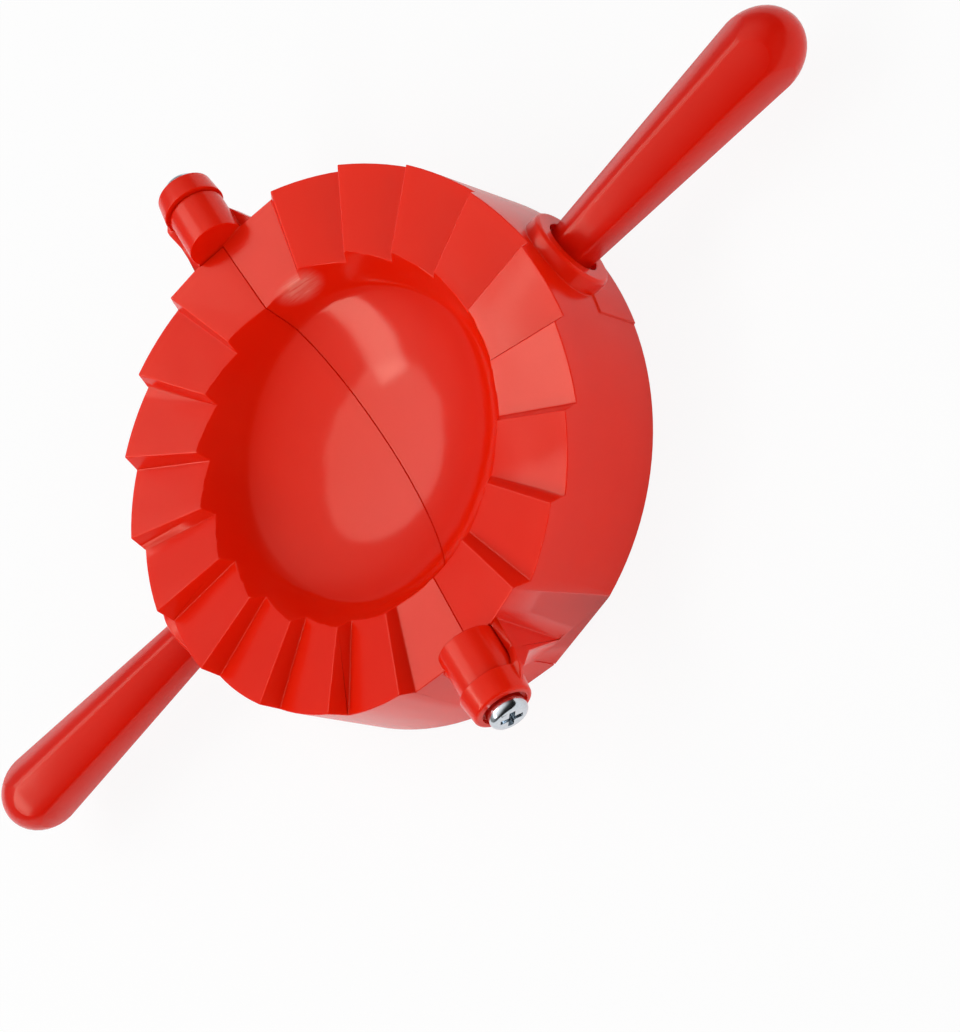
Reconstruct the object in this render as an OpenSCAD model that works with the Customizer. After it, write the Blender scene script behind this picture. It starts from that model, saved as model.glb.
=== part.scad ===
// Empanada press: two half-round shells on one hinge, each with a moulded handle.
// Open, the halves lie flat and make a whole dish ringed by crimping teeth.
// Closed, the teeth of one half mesh with the teeth of the other and crimp the dough.
// The hinge axis runs along X. The dish faces +Z. The handles point along +Y and -Y.
// The pieces are drawn round the hinge axis and stand() sets their back edge on z = 0.
// Both halves are the same moulding: the base half is the folding half turned half round.

/* [Crimping rim] */
// Radius of the rim's outer edge
rim_r = 56; // [50:1:64]
// Crests on each half
tooth_count = 9; // [5:1:11]
// Height from the foot of a tooth to its crest, at the outer edge
tooth_height = 3.94; // [2:0.02:5]
// Arc that the steep side of a tooth takes, in degrees
riser_arc = 2.16; // [1:0.02:4]
// Arc from the hinge line to the middle of the first steep side, in degrees
end_arc = 17.04; // [13:0.02:21]
// Fall of the rim towards the dish, in degrees
rim_fall = 6.1; // [2:0.1:9]
// Gap left for the dough between the closed teeth
crimp_gap = 1.6; // [0.8:0.1:3]
// Gap over the flat lands beside the hinge when the press is closed
land_gap = 0.4; // [0.3:0.05:1]

/* [Dish] */
// Radius of the dish at its mouth
dish_r = 38.9; // [34:0.1:42]
// Depth of the dish below the middle of the teeth
dish_depth = 17.9; // [13:0.1:20]
// Height of the mouth above the middle of the teeth
mouth_rise = 0.2; // [0:0.02:0.6]
// Depth of the dish's widest ring below the middle of the teeth
bowl_drop = 0.84; // [0.4:0.02:2]
// Width of the flared lip below the mouth
lip_width = 6.9; // [4:0.1:9]
// Slope of the lip at the mouth, in degrees
lip_slope = 55; // [45:1:65]

/* [Shell] */
// Wall of the moulding
wall = 2; // [1.6:0.1:2.6]
// Depth of the back edge below the hinge axis
back_depth = 29.4; // [26.5:0.1:36]
// Growth of the skirt's radius from the rim to the back edge
skirt_flare = 0.5; // [0:0.1:1.5]
// Arc of the flat on the skirt beside each hinge, in degrees
flat_arc = 16; // [8:1:20]
// Gap between the two halves along the hinge line
part_gap = 0.3; // [0.3:0.05:1]
// Thickness of the ribs under the rim
rib_wall = 1.6; // [1:0.1:2.4]
// Height at which the ribs stop above the back edge
rib_stop = 5; // [3:0.5:10]
// Arc of the raised panel on the skirt behind the handle, in degrees
panel_arc = 27; // [20:1:32]
// Height of the raised panel above the skirt
panel_proud = 0.35; // [0.2:0.05:0.8]
// Depth of the raised panel's top edge below the handle's axis
panel_drop = 3.1; // [0:0.1:6]

/* [Hinge] */
// Diameter of the barrel that takes the screw
barrel_d = 12.3; // [10:0.1:14]
// Length of the barrel
barrel_len = 10; // [8:0.1:14]
// Length of the barrel that is sunk in the skirt
barrel_bite = 1; // [0.6:0.1:1.6]
// Reach of the web beside the barrel, out from the barrel's inner end
web_reach = 6.5; // [4:0.1:8]
// Width of the web at the skirt, from the hinge line
web_width = 9.8; // [8:0.1:12]
// Depth of the rib under the barrel, at the skirt
rib_drop = 9; // [5:0.1:14]
// Diameter of the outer knuckle beside the barrel
knuckle_d = 13.6; // [13.2:0.1:15]
// Fall of the knuckle's diameter over its length
knuckle_taper = 1.2; // [0:0.1:1.6]
// Height of the knuckle's middle above the hinge axis
knuckle_lift = 0.4; // [0:0.1:0.5]
// Length of the outer knuckle
knuckle_len = 5.3; // [4:0.1:7]
// Round of the knuckle's outer edge
knuckle_edge = 0.7; // [0.3:0.1:1]
// Gap between hinge pieces that turn past each other
hinge_gap = 0.3; // [0.2:0.05:0.5]
// Thickness of the arm that carries the outer knuckle, beside the barrel
arm_wall = 1.6; // [1.2:0.1:2.4]
// Lean of the arm's outer face towards the hinge line, from its top to its foot
arm_lean = 2; // [0:0.1:3]
// Depth of the arm's foot below the hinge axis
arm_foot = 24.3; // [18:0.1:25]
// Reach of the arm past the skirt, under the barrel
arm_reach = 5.7; // [3:0.1:7]
// Thickness of the lug at the arm's top, which carries the knuckle
lug_wall = 1.1; // [0.8:0.1:2]

/* [Hinge screws] */
// Diameter of the screw
screw_d = 4; // [3:0.1:4.6]
// Length of the screw under its head
screw_len = 12; // [9:0.5:12.5]
// Diameter of the screw's head
head_d = 8.2; // [7:0.1:8.4]
// Height of the screw's head
head_h = 3.1; // [2:0.1:3.6]
// Depth of the counterbore round the head
head_sink = 1; // [0.6:0.1:2]
// Clearance round the head in its counterbore
head_gap = 0.65; // [0.4:0.05:0.8]
// Gap left between the head and its seat, so that the knuckle turns freely
seat_gap = 0.5; // [0.1:0.1:0.8]
// Clearance round the screw where the knuckle turns on it
pivot_gap = 0.08; // [0.02:0.01:0.1]
// Depth that the thread bites into the barrel's pilot hole
thread_bite = 0.25; // [0.1:0.05:0.35]
// Room past the screw's tip in its pilot hole
tip_room = 0.4; // [0.2:0.1:1]
// Span of the cross recess, as a share of the head's diameter
cross_span = 0.58; // [0.4:0.02:0.7]
// Width of the cross recess, as a share of its span
cross_width = 0.26; // [0.15:0.01:0.35]
// Depth of the cross recess, as a share of the head's height
cross_depth = 0.6; // [0.4:0.05:0.7]

/* [Handles] */
// Distance from the hinge axis to the handle's tip
handle_tip = 122; // [100:0.5:150]
// Depth of the handle's axis below the hinge axis
handle_drop = 13.9; // [13:0.1:17]
// Rise of the handle towards its tip, in degrees
handle_lean = 0.7; // [0:0.1:2]
// Diameter of the handle beside the shell
handle_neck_d = 10.4; // [9.6:0.1:12]
// Diameter of the handle at its thickest
handle_bulb_d = 17; // [13:0.1:20]
// Length of the handle's rounded end
handle_nose = 10; // [7:0.5:14]
// Flats round the handle
handle_sides = 6; // [4:1:8]
// Share of the handle's radius that its flats leave
handle_flat = 0.91; // [0.85:0.01:0.96]
// Diameter of the collar on the shell that the handle plugs into
collar_d = 19.2; // [17:0.1:20]
// Height of the collar above the skirt
collar_h = 2.8; // [2:0.1:5]
// Bevel of the collar's outer edge
collar_edge = 0.6; // [0.3:0.1:1]
// Clearance round the handle in the mouth of the collar
collar_gap = 1; // [0.5:0.1:1.2]
// Depth of the recess in the collar's face
collar_recess = 1.8; // [1:0.1:2.5]
// Diameter of the handle's plug
plug_d = 8; // [6:0.1:8.6]
// Length of the handle's plug
plug_len = 13; // [9:0.5:14]
// Overlap of the plug's radius with its socket
plug_bite = 0.05; // [0.03:0.01:0.1]
// Room past the plug's end in its socket
plug_room = 0.5; // [0.2:0.1:1]

/* [Hidden] */
$fn = 96;

// A cut runs this far past the face that it opens, and an added form sinks this far in.
over = 1;
sink = 0.4;

// Teeth: heights are at the rim's outer edge, and angles run from the +X end of the hinge.
tooth_mid = -crimp_gap / 2;
tooth_pitch = (180 - 2 * end_arc) / (tooth_count - 1);
tooth_half_arc = (tooth_pitch - riser_arc) / 2;
land_drop = tooth_height / 2 - crimp_gap + land_gap;
crest_top = tooth_mid + tooth_height / 2 + over;
cut_r_in = dish_r - lip_width;
cut_r_out = rim_r + 2 * over;

// Dish: a half ellipse below, flared to the mouth by the lip.
mouth_z = tooth_mid + mouth_rise;
bowl_z = tooth_mid - bowl_drop;
bowl_h = dish_depth - bowl_drop;
lip_r = dish_r - lip_width;
bowl_steps = 16;
lip_steps = 9;
under_steps = 12;

// Shell: the rim's underside is flat, one wall below the lowest foot of a tooth.
half_gap = part_gap / 2;
rim_floor = tooth_z(dish_r - 2, -1) - wall;
back_z = -back_depth;
back_r = rim_r + skirt_flare;

// Hinge: every place along X counts outwards from the skirt.
barrel_r = barrel_d / 2;
barrel_in = rim_r - barrel_bite;
barrel_out = barrel_in + barrel_len;
knuckle_r = knuckle_d / 2;
knuckle_in = barrel_out + hinge_gap;
knuckle_out = knuckle_in + knuckle_len;
notch_r = barrel_r + hinge_gap;
notch_in = barrel_in - hinge_gap;
arm_out = notch_r + arm_wall;
arm_root = notch_in - wall / 2;
arm_foot_x = rim_r - 1.5 * sink;
arm_crook = -notch_r - sink;
lug_top = 1;
lug_out = knuckle_in + lug_wall;
web_top = -0.42 * barrel_r;
web_root = notch_in - 0.8 * wall;
web_nose = 0.9 * barrel_r;
pad_in = notch_in - 1.5 * wall;

// Screw: its tip stops short of the pilot hole's end.
seat_x = knuckle_out - head_sink;
head_x = seat_x + seat_gap;
pilot_r = screw_d / 2 - thread_bite;
pilot_in = head_x - screw_len - tip_room;

// Handle: its plug and shoulder take their places from the collar.
collar_root = rim_r - 1.5 * wall;
collar_y = back_r + collar_h;
panel_top = -handle_drop - panel_drop;
shoulder_y = collar_y - collar_recess;
neck_r = handle_neck_d / 2;
bulb_r = handle_bulb_d / 2;
shoulder_gap = 1.2 * neck_r * sin(handle_lean);
socket_r = plug_d / 2 - plug_bite;
socket_in = shoulder_y - plug_len - plug_room;
boss_r = socket_r + 1.4 * wall;
nose_steps = 12;

// How far the rim has fallen at radius r, seen along the middle of a tooth.
function fall_at(r) = tan(rim_fall) * cos(tooth_half_arc) * (r - rim_r);

// Height of a tooth's face at radius r: side is 1 on its crest and -1 at its foot.
function tooth_z(r, side) = tooth_mid + fall_at(r) + side * tooth_height / 2 * r / rim_r;

// Height of the flat land beside the hinge at radius r.
function land_z(r) = tooth_mid - land_drop + fall_at(r);

// Angle of the crest edge of tooth k, counted from the -X end.
function crest_angle(k) = 180 - end_arc - tooth_pitch * k - riser_arc / 2;

// Height of the dish's half ellipse at radius r, for a surface that lies grow outside it.
function bowl_at(r, grow) =
    bowl_z - (bowl_h + grow) * sqrt(max(0, 1 - pow(r / (dish_r + grow), 2)));

// Slope of the half ellipse at radius r.
function bowl_slope(r) = bowl_h * r / pow(dish_r, 2) / sqrt(1 - pow(r / dish_r, 2));

// Height of the lip at t, from 0 where it leaves the ellipse to 1 at the mouth.
function lip_at(t) =
    (2 * pow(t, 3) - 3 * pow(t, 2) + 1) * bowl_at(lip_r, 0)
    + (pow(t, 3) - 2 * pow(t, 2) + t) * lip_width * bowl_slope(lip_r)
    + (3 * pow(t, 2) - 2 * pow(t, 3)) * mouth_z
    + (pow(t, 3) - pow(t, 2)) * lip_width * tan(lip_slope);

// Radius of the surface that lies one wall under the dish, at height z.
function under_r(z) = (dish_r + wall) * sqrt(1 - pow((bowl_z - z) / (bowl_h + wall), 2));

// The dish's section, from its middle out to its mouth and on up the slope of the lip.
dish_line = concat(
    [for (i = [0:bowl_steps - 1]) [lip_r * i / bowl_steps, bowl_at(lip_r * i / bowl_steps, 0)]],
    [for (i = [0:lip_steps]) [lip_r + lip_width * i / lip_steps, lip_at(i / lip_steps)]],
    [[dish_r + (crest_top - mouth_z) / tan(lip_slope), crest_top]]);

// The underside's section, from its middle out to the rim's floor.
under_line = [for (i = [0:under_steps])
    let (r = under_r(rim_floor) * sin(90 * i / under_steps))
    [r, i == under_steps ? rim_floor : bowl_at(r, wall)]];

// Half a turn of the shell before its teeth are cut, solid down to the back edge.
module blank() {
    intersection() {
        rotate_extrude()
            polygon(concat(dish_line, [
                [rim_r, crest_top],
                [rim_r, tooth_mid],
                [back_r, back_z],
                [0, back_z]]));
        translate([-2 * rim_r, half_gap, back_z - over])
            cube([4 * rim_r, 2 * rim_r, 2 * rim_r]);
    }
}

// The rim's teeth as one cutter: a strip of sloping faces between a crest and a foot at
// each steep side, closed above.
module crimp_cut() {
    stations = concat(
        [[180, 0]],
        [for (k = [0:tooth_count - 1])
            for (side = [-1, 1])
                [crest_angle(k) + (side < 0 ? riser_arc : 0), side < 0 && k == 0 ? 0 : side]],
        [[0, 0]]);
    n = len(stations);
    function height(s, r) = s[1] == 0 ? land_z(r) : tooth_z(r, s[1]);
    function spot(s, r, z) = [r * cos(s[0]), r * sin(s[0]), z];
    points = [for (s = stations)
        for (p = [
            spot(s, cut_r_in, height(s, cut_r_in)),
            spot(s, cut_r_out, height(s, cut_r_out)),
            spot(s, cut_r_out, crest_top + over),
            spot(s, cut_r_in, crest_top + over)])
        p];
    sides = [for (i = [0:n - 2])
        for (j = [0:3])
            let (a = 4 * i + j, b = 4 * i + (j + 1) % 4)
            for (face = [[a, a + 4, b], [b, a + 4, b + 4]])
                face];
    polyhedron(points, concat([[0, 1, 2], [0, 2, 3]], sides,
        [[4 * n - 4, 4 * n - 2, 4 * n - 3], [4 * n - 4, 4 * n - 1, 4 * n - 2]]));
}

// Room behind the dish, open at the back edge. What stays in it is the moulding's own:
// the handle's socket, the ribs under the rim and the pads behind the hinge.
module hollow() {
    difference() {
        intersection() {
            rotate_extrude()
                polygon(concat(under_line, [
                    [rim_r - wall, rim_floor],
                    [back_r - wall, back_z - over],
                    [0, back_z - over]]));
            translate([-2 * rim_r, half_gap + wall, back_z - 2 * over])
                cube([4 * rim_r, 2 * rim_r, 2 * rim_r]);
        }
        translate([0, socket_in - wall, -handle_drop])
            rotate([-90, 0, 0])
                cylinder(r = boss_r, h = rim_r - socket_in);
        for (a = [45, 135])
            rotate([90, 0, a])
                linear_extrude(rib_wall, center = true)
                    polygon([
                        [dish_r - lip_width, 0],
                        [rim_r, 0],
                        [rim_r, back_z + rib_stop],
                        [rim_r - wall, back_z + rib_stop],
                        [dish_r - lip_width, bowl_z - bowl_h]]);
        for (side = [-1, 1])
            translate([side > 0 ? pad_in : -rim_r, 0, -arm_foot])
                cube([rim_r - pad_in, arm_out, arm_foot]);
    }
}

// The flats beside the hinge, as one block for each end.
module flat_cuts() {
    for (a = [flat_arc / 2, 180 - flat_arc / 2])
        rotate([0, 0, a])
            translate([rim_r * cos(flat_arc / 2), -rim_r / 4, back_z - over])
                cube([rim_r / 4, rim_r / 2, 2 * back_depth]);
}

// Collar round the handle's root, with its outer edge broken.
module collar() {
    translate([0, 0, -handle_drop])
        rotate([-90, 0, 0])
            rotate_extrude()
                polygon([
                    [0, collar_root],
                    [collar_d / 2, collar_root],
                    [collar_d / 2, collar_y - collar_edge],
                    [collar_d / 2 - collar_edge, collar_y],
                    [0, collar_y]]);
}

// Raised panel on the skirt behind the handle, where the mould's slide closes.
module slide_panel() {
    rotate([0, 0, 90 - panel_arc / 2])
        rotate_extrude(angle = panel_arc)
            polygon([
                [rim_r - wall / 2, panel_top],
                [rim_r + skirt_flare * panel_top / back_z + panel_proud, panel_top],
                [back_r + panel_proud, back_z],
                [rim_r - wall / 2, back_z]]);
}

// Barrel at the -X end, with the web and the rib that tie it to the skirt.
module barrel() {
    translate([-barrel_out, 0, 0])
        rotate([0, 90, 0])
            cylinder(r = barrel_r, h = barrel_len);
    translate([0, 0, -barrel_r])
        linear_extrude(barrel_r + web_top)
            polygon([
                [-barrel_in - web_reach, half_gap],
                [-barrel_in - web_reach, web_nose],
                [-web_root, web_width],
                [-web_root, half_gap]]);
    translate([0, half_gap, 0])
        rotate([90, 0, 0])
            mirror([0, 0, 1])
                linear_extrude(wall)
                    polygon([
                        [-barrel_out + wall, -barrel_r + sink],
                        [-notch_in, -barrel_r + sink],
                        [-notch_in, -barrel_r - rib_drop]]);
}

// Arm at the +X end: it cradles the other half's barrel from its foot on the skirt up to
// the lug beside the knuckle, and its outer face leans in towards the foot.
module arm() {
    intersection() {
        translate([0, 2 * arm_out, 0])
            rotate([90, 0, 0])
                linear_extrude(2 * arm_out - half_gap)
                    polygon([
                        [arm_root, web_top],
                        [notch_in, web_top],
                        [notch_in, tooth_mid],
                        [barrel_in + web_reach, tooth_mid],
                        [knuckle_in, lug_top],
                        [lug_out, lug_top],
                        [lug_out, tooth_mid],
                        [rim_r + arm_reach, arm_crook],
                        [arm_foot_x, -arm_foot],
                        [arm_root, -arm_foot]]);
        rotate([90, 0, 90])
            linear_extrude(2 * rim_r)
                polygon([
                    [0, lug_top + over],
                    [arm_out, lug_top + over],
                    [arm_out, tooth_mid],
                    [arm_out - arm_lean, -arm_foot],
                    [0, -arm_foot]]);
    }
}

// Outer knuckle at the +X end, tapered, with a round outer edge and a fairing to the arm.
module knuckle() {
    end_r = knuckle_r - knuckle_taper / 2;
    translate([knuckle_in, 0, knuckle_lift])
        rotate([0, 90, 0])
            rotate_extrude()
                polygon(concat(
                    [[0, 0], [knuckle_r, 0]],
                    [for (a = [0:15:90])
                        [end_r - knuckle_edge * (1 - cos(a)),
                            knuckle_len - knuckle_edge * (1 - sin(a))]],
                    [[0, knuckle_len]]));
    linear_extrude(lug_top)
        polygon([
            [knuckle_in, 0],
            [knuckle_in, arm_out],
            [lug_out, arm_out],
            [knuckle_out - 2 * knuckle_edge, end_r],
            [knuckle_out - 2 * knuckle_edge, 0]]);
}

// One moulded half, as it lies on the +Y side.
module half_shell() {
    difference() {
        union() {
            difference() {
                blank();
                crimp_cut();
                hollow();
                flat_cuts();
            }
            collar();
            slide_panel();
            barrel();
            arm();
            knuckle();
        }
        // room for the other half's barrel
        translate([notch_in, 0, 0])
            rotate([0, 90, 0])
                cylinder(r = notch_r, h = knuckle_in - notch_in);
        // pilot hole for the screw that this half's barrel holds
        translate([-barrel_out - over, 0, 0])
            rotate([0, 90, 0])
                cylinder(r = pilot_r, h = barrel_out + over - pilot_in);
        // bore that turns on the other half's screw, and the counterbore for its head
        translate([knuckle_in - over, 0, 0])
            rotate([0, 90, 0])
                cylinder(r = screw_d / 2 + pivot_gap, h = knuckle_len + 2 * over);
        translate([seat_x, 0, 0])
            rotate([0, 90, 0])
                cylinder(r = head_d / 2 + head_gap, h = head_sink + over);
        // socket for the handle's plug, and the recess round its shoulder
        translate([0, socket_in, -handle_drop])
            rotate([-90, 0, 0])
                cylinder(r = socket_r, h = collar_y + over - socket_in);
        translate([0, shoulder_y, -handle_drop])
            rotate([-90, 0, 0])
                cylinder(r = neck_r + collar_gap, h = collar_recess + over);
    }
}

// The grip, from its shoulder out along +Y: a round taper with soft flats and a round nose.
module grip() {
    grip_len = handle_tip - shoulder_y;
    taper_len = grip_len - handle_nose;
    taper = atan((bulb_r - neck_r) * handle_flat / taper_len);
    difference() {
        rotate([-90, 0, 0])
            rotate_extrude()
                polygon(concat(
                    [[0, 0], [neck_r, 0]],
                    [for (i = [0:nose_steps])
                        let (a = 90 * i / nose_steps)
                        [i == nose_steps ? 0 : bulb_r * cos(a),
                            taper_len + handle_nose * sin(a)]]));
        for (side = [0:handle_sides - 1])
            rotate([0, (side + 0.5) * 360 / handle_sides, 0])
                translate([0, 0, neck_r * handle_flat])
                    rotate([taper, 0, 0])
                        translate([-2 * bulb_r, -bulb_r, 0])
                            cube([4 * bulb_r, 2 * grip_len, 2 * bulb_r]);
    }
}

// One handle, as it lies on the +Y side: the grip rises a little from its straight plug.
module handle() {
    translate([0, shoulder_y, -handle_drop])
        union() {
            translate([0, shoulder_gap, 0])
                rotate([handle_lean, 0, 0])
                    grip();
            translate([0, -plug_len, 0])
                rotate([-90, 0, 0])
                    cylinder(r = plug_d / 2, h = plug_len + over);
        }
}

// One hinge screw at the +X end, with its cross recess.
module hinge_screw() {
    span = cross_span * head_d;
    depth = cross_depth * head_h;
    difference() {
        union() {
            translate([head_x - screw_len, 0, 0])
                rotate([0, 90, 0])
                    cylinder(r = screw_d / 2, h = screw_len + over);
            translate([head_x, 0, 0])
                rotate([0, 90, 0])
                    rotate_extrude()
                        polygon(concat(
                            [[0, 0], [head_d / 2, 0]],
                            [for (i = [0:6])
                                let (a = 15 * i)
                                [i == 6 ? 0 : head_d / 2 * (0.7 + 0.3 * cos(a)),
                                    head_h * (0.55 + 0.45 * sin(a))]]));
        }
        for (a = [0, 90])
            translate([head_x + head_h, 0, 0])
                rotate([a + 45, 0, 0])
                    cube([2 * depth, span, cross_width * span], center = true);
    }
}

// Stands a piece on its back edge, turned about the upright axis.
module stand(turn) {
    translate([0, 0, back_depth])
        rotate([0, 0, turn])
            children();
}

// The folding half turns on the hinge, up and over onto the base half.
module folding_half() {
    color("Red")
        stand(0)
            half_shell();
}

module base_half() {
    color("Firebrick")
        stand(180)
            half_shell();
}

module folding_handle() {
    color("Tomato")
        stand(0)
            handle();
}

module base_handle() {
    color("Salmon")
        stand(180)
            handle();
}

// The folding half's barrel is at the -X end, so its screw enters from there.
module folding_screw() {
    color("Silver")
        stand(180)
            hinge_screw();
}

module base_screw() {
    color("LightGray")
        stand(0)
            hinge_screw();
}

folding_half();
base_half();
folding_handle();
base_handle();
folding_screw();
base_screw();
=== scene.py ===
import math
import bmesh
import bpy
from mathutils import Matrix, Vector


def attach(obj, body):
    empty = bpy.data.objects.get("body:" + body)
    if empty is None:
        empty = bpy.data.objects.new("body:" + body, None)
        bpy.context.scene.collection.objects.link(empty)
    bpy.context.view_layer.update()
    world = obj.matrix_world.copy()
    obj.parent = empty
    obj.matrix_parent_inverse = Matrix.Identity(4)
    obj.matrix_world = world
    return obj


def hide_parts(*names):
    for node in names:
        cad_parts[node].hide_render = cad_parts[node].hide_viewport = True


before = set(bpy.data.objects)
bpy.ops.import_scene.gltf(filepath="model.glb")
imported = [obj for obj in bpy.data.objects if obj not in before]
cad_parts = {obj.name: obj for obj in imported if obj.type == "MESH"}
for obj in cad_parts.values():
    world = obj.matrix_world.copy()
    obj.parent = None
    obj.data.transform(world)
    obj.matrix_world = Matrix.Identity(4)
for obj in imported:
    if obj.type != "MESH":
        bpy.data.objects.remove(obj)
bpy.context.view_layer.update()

MM = 0.001

# The press in metres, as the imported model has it.
HINGE_Z = 29.4 * MM
DISH_RADIUS = 38.9 * MM
PART_GAP = 0.3 * MM
# The groove that the photograph shows along the hinge line: its depth, and what stays open.
SEAM_DEPTH = 0.25 * MM
SEAM_GAP = 0.04 * MM

# Points nearer than WELD are one point, and points within TOUCH of a plane lie on it.
WELD = 0.02 * MM
TOUCH = 0.01 * MM
# Faces that bend less than this, in degrees, become one face.
FLAT_ANGLE = 0.4
# Bends above this, in degrees, are edges: on shells and screws, and on the softer handles.
CREASE = 24
SOFT_CREASE = 40
# The rounds on the edges of each kind of piece.
SHELL_ROUND = 0.24 * MM
HANDLE_ROUND = 0.3 * MM
SCREW_ROUND = 0.08 * MM
ROUND_STEPS = 3
# An edge is rounded where its neighbours are longer than this many times its round.
ROUND_ROOM = 2.4

# The patch in the dish that is rubbed matt and painted with a pale streaky highlight: its middle,
# and the turn of its streaks in radians.
RUB_AND_HIGHLIGHT_MIDDLE = (-35.2 * MM, 8.5 * MM, 25.0 * MM)
RUB_AND_HIGHLIGHT_TURN = -1.32
# Roughness that a full rub adds, and that a scuff adds.
RUBBED_MATT = 0.35
SCUFF_MATT = 0.015

WHITE = "#FFFFFF"
# How much plain white the camera sees in the paper, and what share of that a reflection sees.
PAPER_WHITE = 0.9
MIRRORED_SHARE = 0.5
# The direction in which the walls are palest, the even fill, and what the camera sees of them.
PALE_SIDE = (-0.73, -0.60, 0.33)
EVEN_FILL = 0.36
WALL_WHITE = 0.97
# The paper's width in metres, and how far it lies under the press.
PAPER_SIZE = 24.0
PAPER_DROP = 0.2 * MM


def linear(hex_colour):
    """An sRGB hex colour as the linear RGBA that sockets take."""
    parts = [int(hex_colour[i:i + 2], 16) / 255 for i in (1, 3, 5)]
    return tuple(p / 12.92 if p <= 0.04045 else ((p + 0.055) / 1.055) ** 2.4
                 for p in parts) + (1.0,)


def scale_for(*sizes):
    """The scale that makes a pattern as large as the given sizes in millimetres."""
    return tuple(1 / (size * MM) for size in sizes)


def add_node(tree, kind, settings=None, inputs=None, **values):
    """Adds a node with its settings. inputs gives a link or a value for a socket's name or
    number, and values gives values by name."""
    made = tree.nodes.new(kind)
    for name, value in (settings or {}).items():
        setattr(made, name, value)
    for name, value in values.items():
        made.inputs[name.replace("_", " ")].default_value = value
    for name, source in (inputs or {}).items():
        if isinstance(source, bpy.types.NodeSocket):
            tree.links.new(source, made.inputs[name])
        else:
            made.inputs[name].default_value = source
    return made


def new_material(name):
    """An empty node material, and its tree."""
    made = bpy.data.materials.new(name)
    made.use_nodes = True
    made.node_tree.nodes.clear()
    return made, made.node_tree


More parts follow.
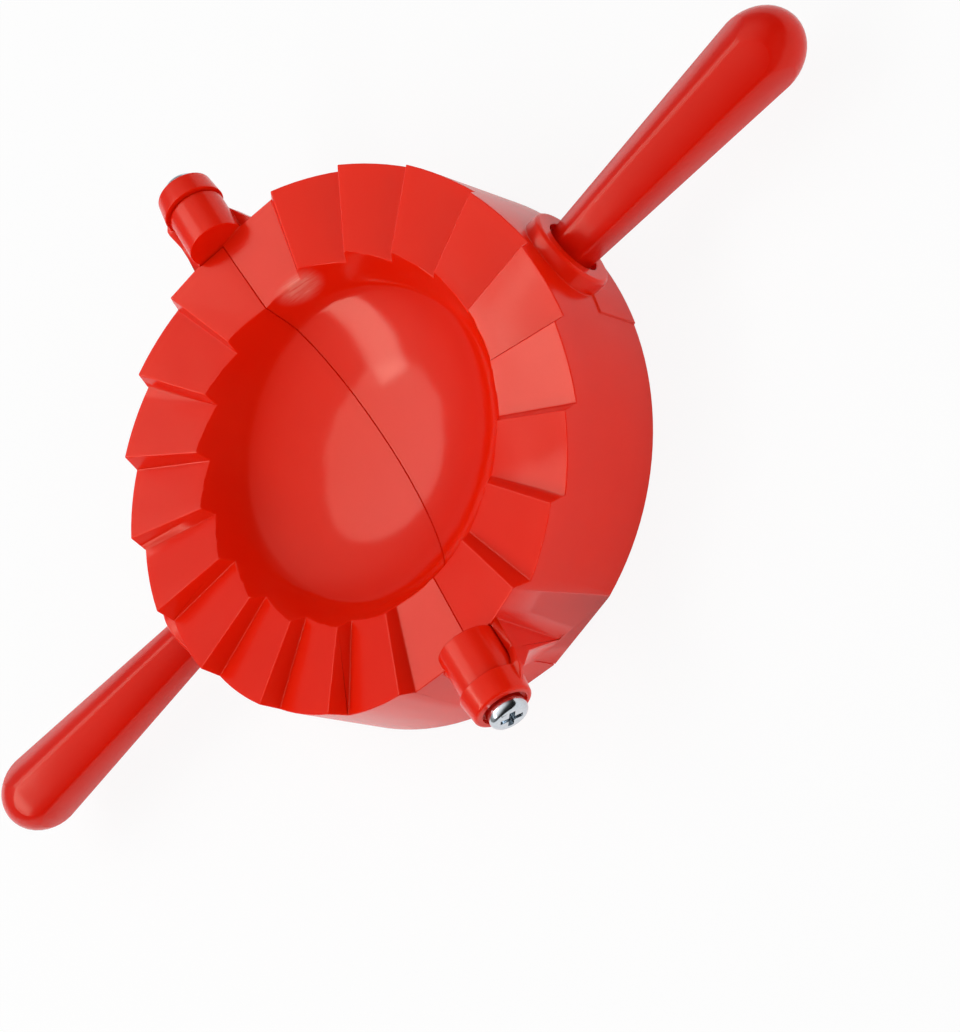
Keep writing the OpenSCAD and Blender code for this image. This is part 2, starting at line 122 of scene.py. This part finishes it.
def red_polypropylene(name, bright, deep, gloss, polished):
    """Polypropylene, moulded in a polished steel mould: a deep clean red under a clear gloss, with
    light that sinks a few millimetres into thin walls. Slow waves of shrinkage, flow clouding,
    faint scuffs and one rubbed patch break it up; that patch also carries a painted streaky
    highlight in pale pink. gloss is the roughness outside the dish and polished the one inside it."""
    made, tree = new_material(name)
    place = add_node(tree, "ShaderNodeTexCoord").outputs["Object"]
    # Flow clouding in the colour, about 14 mm across.
    cloud = add_node(tree, "ShaderNodeTexNoise", None, {"Vector": place},
                     Scale=1 / (14 * MM), Detail=3.0, Roughness=0.55)
    tint = add_node(tree, "ShaderNodeMix", {"data_type": "RGBA"}, {"Factor": cloud.outputs["Fac"]},
                    A=linear(deep), B=linear(bright))
    # Skin of the moulding: a soft unevenness 3 mm across.
    skin = add_node(tree, "ShaderNodeTexNoise", None, {"Vector": place},
                    Scale=1 / (3 * MM), Detail=2.0, Roughness=0.5)
    # Scuffs: short hairlines, stretched eightfold and kept sparse.
    run = add_node(tree, "ShaderNodeMapping", None, {"Vector": place}, Rotation=(0.3, 0.2, 0.9),
                   Scale=scale_for(0.4, 3.2, 3.2))
    hair = add_node(tree, "ShaderNodeTexNoise", None, {"Vector": run.outputs["Vector"]},
                    Scale=1.0, Detail=1.0)
    scuff = add_node(tree, "ShaderNodeMapRange", {"interpolation_type": "SMOOTHSTEP"},
                     {"Value": hair.outputs["Fac"]},
                     From_Min=0.62, From_Max=0.78, To_Min=gloss, To_Max=gloss + SCUFF_MATT)
    # A patch by the hinge that is rubbed matt in fine streaks, 14 mm by 6 mm, and painted with a
    # pale streaky highlight.
    aside = add_node(tree, "ShaderNodeVectorMath", {"operation": "SUBTRACT"},
                     {0: place, 1: RUB_AND_HIGHLIGHT_MIDDLE})
    along = add_node(tree, "ShaderNodeMapping", None, {"Vector": aside.outputs["Vector"]},
                     Rotation=(0.0, 0.0, RUB_AND_HIGHLIGHT_TURN))
    spot = add_node(tree, "ShaderNodeVectorMath", {"operation": "MULTIPLY"},
                    {0: along.outputs["Vector"], 1: scale_for(7, 3, 6)})
    off = add_node(tree, "ShaderNodeVectorMath", {"operation": "LENGTH"},
                   {0: spot.outputs["Vector"]})
    patch = add_node(tree, "ShaderNodeMapRange", {"interpolation_type": "SMOOTHSTEP"},
                     {"Value": off.outputs["Value"]}, From_Min=1.0, From_Max=0.2)
    streak = add_node(tree, "ShaderNodeVectorMath", {"operation": "MULTIPLY"},
                      {0: along.outputs["Vector"], 1: scale_for(5, 0.5, 0.5)})
    grain = add_node(tree, "ShaderNodeTexNoise", None, {"Vector": streak.outputs["Vector"]},
                     Scale=1.0, Detail=2.0)
    rub_and_highlight = add_node(tree, "ShaderNodeMath", {"operation": "MULTIPLY"},
                      {0: patch.outputs["Result"], 1: grain.outputs["Fac"]})
    # Painted highlight: the patch's streaks turn pale pink in the colour itself.
    pale = add_node(tree, "ShaderNodeMix", {"data_type": "RGBA"},
                    {"Factor": rub_and_highlight.outputs["Value"], "A": tint.outputs["Result"]},
                    B=linear("#F29A88"))
    # The dish has the mould's mirror polish, which stops at its mouth.
    flat = add_node(tree, "ShaderNodeVectorMath", {"operation": "MULTIPLY"},
                    {0: place, 1: (1.0, 1.0, 0.0)})
    reach = add_node(tree, "ShaderNodeVectorMath", {"operation": "LENGTH"},
                     {0: flat.outputs["Vector"]})
    mirror = add_node(tree, "ShaderNodeMapRange", {"interpolation_type": "SMOOTHSTEP"},
                      {"Value": reach.outputs["Value"]}, From_Min=DISH_RADIUS - 2.0 * MM,
                      From_Max=DISH_RADIUS + 1.0 * MM, To_Min=polished - gloss, To_Max=0.0)
    base = add_node(tree, "ShaderNodeMath", {"operation": "ADD"},
                    {0: scuff.outputs["Result"], 1: mirror.outputs["Result"]})
    worn = add_node(tree, "ShaderNodeMath", {"operation": "MULTIPLY_ADD"},
                    {0: rub_and_highlight.outputs["Value"], 1: RUBBED_MATT, 2: base.outputs["Value"]})
    # Slow waves left by shrinkage, 13 mm from crest to crest.
    wave = add_node(tree, "ShaderNodeTexNoise", None, {"Vector": place},
                    Scale=1 / (13 * MM), Detail=1.0)
    sway = add_node(tree, "ShaderNodeBump", None, {"Height": wave.outputs["Fac"]},
                    Strength=0.4, Distance=0.4 * MM)
    rise = add_node(tree, "ShaderNodeBump", None,
                    {"Height": skin.outputs["Fac"], "Normal": sway.outputs["Normal"]},
                    Strength=0.06, Distance=0.2 * MM)
    body = add_node(tree, "ShaderNodeBsdfPrincipled", None,
                    {"Base Color": pale.outputs["Result"], "Roughness": worn.outputs["Value"],
                     "Normal": rise.outputs["Normal"]},
                    IOR=1.49, Specular_IOR_Level=0.34, Specular_Tint=linear("#FFE8D0"),
                    Subsurface_Weight=0.4, Subsurface_Scale=1.0,
                    Subsurface_Radius=(4.0 * MM, 0.4 * MM, 0.2 * MM))
    add_node(tree, "ShaderNodeOutputMaterial", None, {"Surface": body.outputs["BSDF"]})
    return made


def zinc_plate(name):
    """Zinc-plated steel: a cool white metal with a slightly uneven plated skin."""
    made, tree = new_material(name)
    place = add_node(tree, "ShaderNodeTexCoord").outputs["Object"]
    skin = add_node(tree, "ShaderNodeTexNoise", None, {"Vector": place},
                    Scale=1 / (0.6 * MM), Detail=3.0, Roughness=0.6)
    gloss = add_node(tree, "ShaderNodeMapRange", None, {"Value": skin.outputs["Fac"]},
                     To_Min=0.05, To_Max=0.22)
    rise = add_node(tree, "ShaderNodeBump", None, {"Height": skin.outputs["Fac"]},
                    Strength=0.15, Distance=0.04 * MM)
    tint = add_node(tree, "ShaderNodeMix", {"data_type": "RGBA"}, {"Factor": skin.outputs["Fac"]},
                    A=linear("#BFC9D2"), B=linear("#E6ECF0"))
    body = add_node(tree, "ShaderNodeBsdfPrincipled", None,
                    {"Base Color": tint.outputs["Result"], "Roughness": gloss.outputs["Result"],
                     "Normal": rise.outputs["Normal"]}, Metallic=1.0)
    add_node(tree, "ShaderNodeOutputMaterial", None, {"Surface": body.outputs["BSDF"]})
    return made


def white_paper(name):
    """Matt white studio paper."""
    made, tree = new_material(name)
    place = add_node(tree, "ShaderNodeTexCoord").outputs["Object"]
    fibre = add_node(tree, "ShaderNodeTexNoise", None, {"Vector": place}, Scale=1 / (8 * MM))
    tint = add_node(tree, "ShaderNodeMix", {"data_type": "RGBA"}, {"Factor": fibre.outputs["Fac"]},
                    A=linear("#FBFBFB"), B=linear("#FDFDFD"))
    body = add_node(tree, "ShaderNodeBsdfDiffuse", None, {"Color": tint.outputs["Result"]})
    glow = add_node(tree, "ShaderNodeEmission", None, None, Color=linear(WHITE), Strength=1.0)
    # The camera sees nearly plain white. Glossy and clear surfaces see half of that, so that
    # the red skirt doesn't mirror the paper too strongly.
    paths = add_node(tree, "ShaderNodeLightPath")
    shiny = add_node(tree, "ShaderNodeMath", {"operation": "ADD"},
                     {0: paths.outputs["Is Glossy Ray"], 1: paths.outputs["Is Transmission Ray"]})
    sight = add_node(tree, "ShaderNodeMath", {"operation": "MULTIPLY_ADD"},
                     {0: shiny.outputs["Value"], 1: MIRRORED_SHARE,
                      2: paths.outputs["Is Camera Ray"]})
    share = add_node(tree, "ShaderNodeMath", {"operation": "MULTIPLY"},
                     {0: sight.outputs["Value"], 1: PAPER_WHITE})
    seen = add_node(tree, "ShaderNodeMixShader", None,
                    {0: share.outputs["Value"], 1: body.outputs["BSDF"],
                     2: glow.outputs["Emission"]})
    add_node(tree, "ShaderNodeOutputMaterial", None, {"Surface": seen.outputs["Shader"]})
    return made


def moulded_copy(node, body, material, edge, crease=CREASE):
    """A copy of a node with smooth faces, whose free edges get the small round of a mould.
    Bends of less than crease degrees are shaded as soft ones."""
    mesh = bmesh.new()
    mesh.from_mesh(bpy.data.objects[node].data)
    bmesh.ops.remove_doubles(mesh, verts=mesh.verts, dist=WELD)
    bmesh.ops.dissolve_limit(mesh, angle_limit=math.radians(FLAT_ANGLE),
                             verts=mesh.verts, edges=mesh.edges)
    # The parting faces come out until they almost touch, with a steep bevel round them.
    parting = [f for f in mesh.faces
               if all(abs(abs(v.co.y) - PART_GAP / 2) < TOUCH for v in f.verts)]
    if parting:
        bmesh.ops.inset_region(mesh, faces=parting, thickness=SEAM_DEPTH,
                               depth=PART_GAP / 2 - SEAM_GAP / 2, use_even_offset=True)
    sharp = {e for e in mesh.edges
             if len(e.link_faces) == 2 and e.calc_face_angle(0) > math.radians(crease)}
    for e in mesh.edges:
        e.smooth = e not in sharp
    # No round at the seam, beside short neighbours or where more than three edges meet.
    room = ROUND_ROOM * edge
    roomy = [e for e in mesh.edges
             if e in sharp
             and not all(abs(v.co.y) < PART_GAP for v in e.verts)
             and all(other in sharp or other.calc_length() > room
                     for v in e.verts for other in v.link_edges)
             and all(sum(other in sharp for other in v.link_edges) <= 3 for v in e.verts)]
    for e in roomy:
        e.smooth = True
    bmesh.ops.bevel(mesh, geom=roomy, offset=edge, segments=ROUND_STEPS, profile=0.5,
                    affect="EDGES", clamp_overlap=False)
    for face in mesh.faces:
        face.smooth = True
    made_mesh = bpy.data.meshes.new(node + "_moulded")
    mesh.to_mesh(made_mesh)
    mesh.free()
    made = bpy.data.objects.new(node + "_moulded", made_mesh)
    bpy.context.collection.objects.link(made)
    made_mesh.materials.append(material)
    if crease < SOFT_CREASE:
        lie = made.modifiers.new("flat faces stay flat", "WEIGHTED_NORMAL")
        lie.keep_sharp = True
    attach(made, body)
    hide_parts(node)
    return made


def place_camera():
    """The photograph's view, fitted to its teeth and handles, down into the dish."""
    lens = bpy.data.cameras.new("product camera")
    lens.lens = 109.948
    lens.sensor_width = 36.0
    lens.sensor_fit = "HORIZONTAL"
    lens.clip_start = 0.05
    lens.clip_end = 30.0
    camera = bpy.data.objects.new("product camera", lens)
    bpy.context.collection.objects.link(camera)
    right = Vector((0.475846, 0.660418, -0.580878))
    up = Vector((-0.741575, 0.656364, 0.138754))
    back = Vector((0.472903, 0.364739, 0.802078))
    turn = Matrix((right, up, back)).transposed().to_4x4()
    camera.matrix_world = Matrix.Translation(Vector((303.35, 222.75, 481.55)) * MM) @ turn
    bpy.context.scene.camera = camera


def softbox(name, towards, wide_along, size, glow, shape="RECTANGLE"):
    """A lamp 1 m from the press, in the given direction, whose face is as bright as glow says."""
    lamp = bpy.data.lights.new(name, "AREA")
    lamp.shape = shape
    lamp.size = size[0]
    lamp.size_y = size[1]
    area = size[0] * size[1] * (math.pi / 4 if shape == "DISK" else 1)
    lamp.energy = glow * math.pi * area
    held = bpy.data.objects.new(name, lamp)
    bpy.context.collection.objects.link(held)
    away = Vector(towards).normalized()
    side = Vector(wide_along)
    side = (side - away * side.dot(away)).normalized()
    turn = Matrix((side, away.cross(side), away)).transposed().to_4x4()
    held.matrix_world = Matrix.Translation(away + Vector((0, 0, HINGE_Z))) @ turn
    return held


def studio_world():
    """Studio walls: pale behind the press, dim round the camera. Matt surfaces get an even fill,
    and a camera that looks past the paper sees nearly white."""
    world = bpy.data.worlds.new("studio walls")
    bpy.context.scene.world = world
    world.use_nodes = True
    tree = world.node_tree
    tree.nodes.clear()
    sight = add_node(tree, "ShaderNodeTexCoord").outputs["Generated"]
    facing = add_node(tree, "ShaderNodeVectorMath", {"operation": "DOT_PRODUCT"},
                      {0: sight, 1: Vector(PALE_SIDE).normalized()})
    level = add_node(tree, "ShaderNodeMapRange", {"interpolation_type": "SMOOTHSTEP"},
                     {"Value": facing.outputs["Value"]},
                     From_Min=-0.4, From_Max=0.6, To_Min=0.05, To_Max=1.15)
    # The walls are brighter high up.
    parts = add_node(tree, "ShaderNodeSeparateXYZ", None, {0: sight})
    high = add_node(tree, "ShaderNodeMapRange", {"interpolation_type": "SMOOTHSTEP"},
                    {"Value": parts.outputs["Z"]},
                    From_Min=0.3, From_Max=0.8, To_Min=0.25, To_Max=1.0)
    shade = add_node(tree, "ShaderNodeMath", {"operation": "MULTIPLY"},
                     {0: level.outputs["Result"], 1: high.outputs["Result"]})
    walls = add_node(tree, "ShaderNodeBackground", None, {"Strength": shade.outputs["Value"]},
                     Color=linear(WHITE))
    fill = add_node(tree, "ShaderNodeBackground", None, None, Color=linear(WHITE),
                    Strength=EVEN_FILL)
    white = add_node(tree, "ShaderNodeBackground", None, None, Color=linear(WHITE),
                     Strength=WALL_WHITE)
    paths = add_node(tree, "ShaderNodeLightPath")
    lit = add_node(tree, "ShaderNodeMixShader", None,
                   {0: paths.outputs["Is Diffuse Ray"], 1: walls.outputs["Background"],
                    2: fill.outputs["Background"]})
    seen = add_node(tree, "ShaderNodeMixShader", None,
                    {0: paths.outputs["Is Camera Ray"], 1: lit.outputs["Shader"],
                     2: white.outputs["Background"]})
    add_node(tree, "ShaderNodeOutputWorld", None, {"Surface": seen.outputs["Shader"]})


def studio():
    """Two lamps that the dish mirrors, a low fill that it doesn't, the paper and the walls."""
    softbox("round key light", (-0.497, -0.351, 0.794), (1, 0, 0), (0.7, 0.7), 1.9, "DISK")
    softbox("strip light", (0.12, -0.67, 0.73), (0.943, -0.094, -0.318), (0.98, 0.22), 4.8)
    fill = softbox("fill from the camera's side", (0.66, 0.74, 0.12), (1, -1, 0), (1.2, 0.8), 1.7)
    fill.visible_glossy = False
    bpy.ops.mesh.primitive_plane_add(size=PAPER_SIZE, location=(0, 0, -PAPER_DROP))
    floor = bpy.context.object
    floor.name = "paper_floor"
    floor.data.materials.append(white_paper("matt white paper, floor"))
    studio_world()


shell_red = red_polypropylene("glossy red polypropylene, shells", "#EB1E04", "#E31A03",
                              gloss=0.2, polished=0.11)
# The handles' red is the shells' red made darker: painted shade.
darkened_handle_red = red_polypropylene("glossy red polypropylene, handles", "#DE1706", "#D51304",
                               gloss=0.2, polished=0.2)
screw_zinc = zinc_plate("bright zinc plate, hinge screws")
for side in ("base", "folding"):
    moulded_copy(side + "_half", side, shell_red, SHELL_ROUND)
    moulded_copy(side + "_handle", side, darkened_handle_red, HANDLE_ROUND,
                 crease=SOFT_CREASE)
    moulded_copy(side + "_screw", side, screw_zinc, SCREW_ROUND)

place_camera()
studio()
bpy.context.scene.view_settings.view_transform = "Standard"
